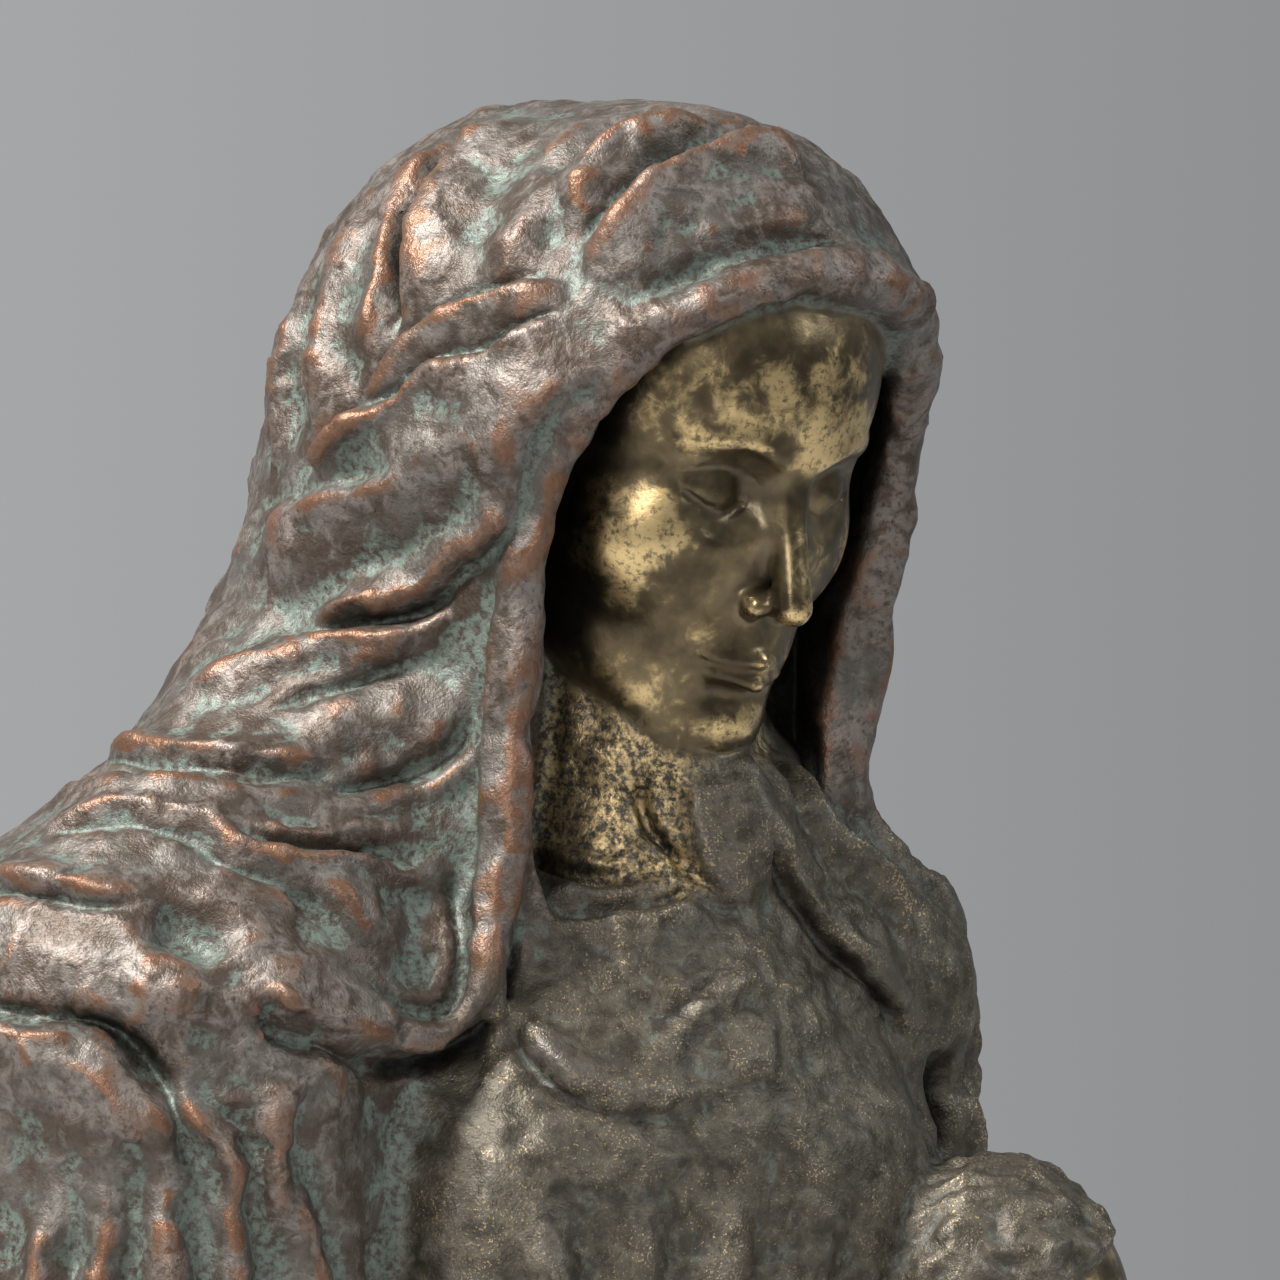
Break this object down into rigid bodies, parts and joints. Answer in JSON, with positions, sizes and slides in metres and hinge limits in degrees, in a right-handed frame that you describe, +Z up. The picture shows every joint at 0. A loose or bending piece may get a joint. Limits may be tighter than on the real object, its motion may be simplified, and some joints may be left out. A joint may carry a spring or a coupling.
{
  "type": "madonna and child bust",
  "caption": "Cast bronze bust of a veiled mother, head bowed and turned, with her child's head against her breast, cut flat below.",
  "frame": {"origin": "middle of the flat underside, below the mother's neck", "axes": "+Z up, the mother's chest faces -Y, her left shoulder and the child are towards +X"},
  "size_m": [0.2526, 0.1655, 0.308],
  "materials": {
    "patinated_bronze": "dark brown patinated bronze with verdigris in the hollows and rubbed golden flesh"
  },
  "bodies": {
    "root": {"madonna_and_child_bust": "patinated_bronze"}
  },
  "joints": []
}
